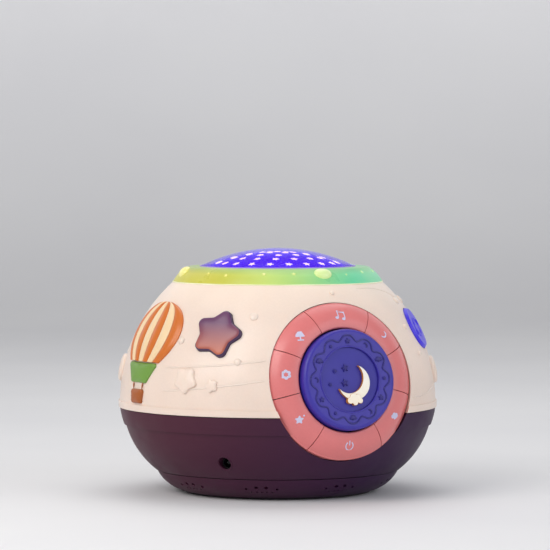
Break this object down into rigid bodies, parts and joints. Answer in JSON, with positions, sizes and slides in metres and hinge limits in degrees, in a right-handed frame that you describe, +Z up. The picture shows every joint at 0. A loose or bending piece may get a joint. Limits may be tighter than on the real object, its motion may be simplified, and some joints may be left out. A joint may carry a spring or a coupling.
{
  "type": "star night light projector",
  "caption": "Round star night light projector with a domed star window, glow ring and a round control panel of keys around a centre pad",
  "frame": {"origin": "middle of the foot ring's underside, on the table plane", "axes": "+Z up along the lamp's axis, -Y out of the control panel, +X towards the panel's right-hand side"},
  "size_m": [0.1729, 0.1728, 0.1307],
  "materials": {
    "cream_shell": "satin",
    "purple_shell": "satin",
    "grey_rubber": "matte",
    "glow_ring": "satin",
    "clear_dome": "polished",
    "star_mask": "satin",
    "white_inner": "matte",
    "dark_inner": "matte",
    "circuit_board": "satin",
    "switch_black": "matte",
    "led_lens": "gloss",
    "bright_cup": "polished",
    "motor_steel": "brushed",
    "screw_steel": "brushed",
    "cell_wrap": "gloss",
    "speaker_paper": "matte",
    "lead_rubber": "matte",
    "key_pink": "satin",
    "pad_purple": "satin",
    "dish_purple": "satin",
    "moon_cream": "gloss",
    "star_purple": "satin",
    "planet_purple": "satin",
    "balloon_orange": "satin",
    "balloon_cream": "satin",
    "balloon_green": "satin",
    "balloon_brown": "satin"
  },
  "bodies": {
    "housing": {"upper_shell": "cream_shell", "lower_shell": "purple_shell", "base_cover": "purple_shell", "foot_ring": "grey_rubber", "light_ring": "glow_ring", "dome_cover": "clear_dome", "projector_deck": "white_inner", "star_led_board": "circuit_board", "star_leds": "led_lens", "light_cup": "bright_cup", "ring_led_board": "circuit_board", "ring_leds": "led_lens", "motor_can": "motor_steel", "motor_strap": "white_inner", "panel_frame": "dark_inner", "key_board": "circuit_board", "key_switches": "switch_black", "side_boards": "circuit_board", "side_switches": "switch_black", "balloon_envelope": "balloon_orange", "balloon_gores": "balloon_cream", "balloon_skirt": "balloon_green", "balloon_basket": "balloon_brown", "main_board": "circuit_board", "board_chips": "switch_black", "battery_holder": "dark_inner", "battery_cell": "cell_wrap", "speaker_basket": "motor_steel", "speaker_cone": "speaker_paper", "speaker_magnet": "motor_steel", "charge_jack": "switch_black", "shell_screws": "screw_steel", "base_screws": "screw_steel", "deck_screws": "screw_steel", "panel_screws": "screw_steel", "battery_leads": "lead_rubber", "speaker_leads": "lead_rubber", "panel_cable": "lead_rubber", "deck_cable": "lead_rubber"},
    "mask_rotor": {"star_mask": "star_mask", "mask_gear": "white_inner"},
    "motor_rotor": {"drive_pinion": "white_inner", "motor_shaft": "screw_steel"},
    "pad": {"pad_cap": "pad_purple", "pad_dish": "dish_purple", "moon_emblem": "moon_cream"},
    "star_button": {"star_button": "star_purple"},
    "planet_button": {"planet_button": "planet_purple"},
    "key_top": {"key_top": "key_pink"},
    "key_upper_right": {"key_upper_right": "key_pink"},
    "key_right": {"key_right": "key_pink"},
    "key_lower_right": {"key_lower_right": "key_pink"},
    "key_bottom": {"key_bottom": "key_pink"},
    "key_lower_left": {"key_lower_left": "key_pink"},
    "key_left": {"key_left": "key_pink"},
    "key_upper_left": {"key_upper_left": "key_pink"}
  },
  "joints": [
    {"name": "key_top_press", "type": "slide", "parent": "housing", "child": "key_top", "axis": [0, 0.988, -0.1547], "range_m": [0, 0.0012], "stiffness_N_per_m": 400, "springref_m": -0.0006},
    {"name": "key_upper_right_press", "type": "slide", "parent": "housing", "child": "key_upper_right", "axis": [0, 0.988, -0.1547], "range_m": [0, 0.0012], "stiffness_N_per_m": 400, "springref_m": -0.0006},
    {"name": "key_right_press", "type": "slide", "parent": "housing", "child": "key_right", "axis": [0, 0.988, -0.1547], "range_m": [0, 0.0012], "stiffness_N_per_m": 400, "springref_m": -0.0006},
    {"name": "key_lower_right_press", "type": "slide", "parent": "housing", "child": "key_lower_right", "axis": [0, 0.988, -0.1547], "range_m": [0, 0.0012], "stiffness_N_per_m": 400, "springref_m": -0.0006},
    {"name": "key_bottom_press", "type": "slide", "parent": "housing", "child": "key_bottom", "axis": [0, 0.988, -0.1547], "range_m": [0, 0.0012], "stiffness_N_per_m": 400, "springref_m": -0.0006},
    {"name": "key_lower_left_press", "type": "slide", "parent": "housing", "child": "key_lower_left", "axis": [0, 0.988, -0.1547], "range_m": [0, 0.0012], "stiffness_N_per_m": 400, "springref_m": -0.0006},
    {"name": "key_left_press", "type": "slide", "parent": "housing", "child": "key_left", "axis": [0, 0.988, -0.1547], "range_m": [0, 0.0012], "stiffness_N_per_m": 400, "springref_m": -0.0006},
    {"name": "key_upper_left_press", "type": "slide", "parent": "housing", "child": "key_upper_left", "axis": [0, 0.988, -0.1547], "range_m": [0, 0.0012], "stiffness_N_per_m": 400, "springref_m": -0.0006},
    {"name": "pad_press", "type": "slide", "parent": "housing", "child": "pad", "axis": [0, 0.988, -0.1547], "range_m": [0, 0.0012], "stiffness_N_per_m": 600, "springref_m": -0.0006},
    {"name": "star_button_press", "type": "slide", "parent": "housing", "child": "star_button", "axis": [0.6912, 0.5597, -0.457], "range_m": [0, 0.0012], "stiffness_N_per_m": 400, "springref_m": -0.0006},
    {"name": "planet_button_press", "type": "slide", "parent": "housing", "child": "planet_button", "axis": [-0.7023, 0.5389, -0.4651], "range_m": [0, 0.0012], "stiffness_N_per_m": 400, "springref_m": -0.0006},
    {"name": "mask_turn", "type": "hinge", "parent": "housing", "child": "mask_rotor", "pos_m": [0, 0, 0.1065], "axis": [0, 0, 1], "continuous": true},
    {"name": "motor_turn", "type": "hinge", "parent": "housing", "child": "motor_rotor", "pos_m": [0, 0.0336, 0.1065], "axis": [0, 0, 1], "continuous": true}
  ],
  "couplings": [
    {"joint": "motor_turn", "follows": "mask_turn", "ratio": -6}
  ]
}
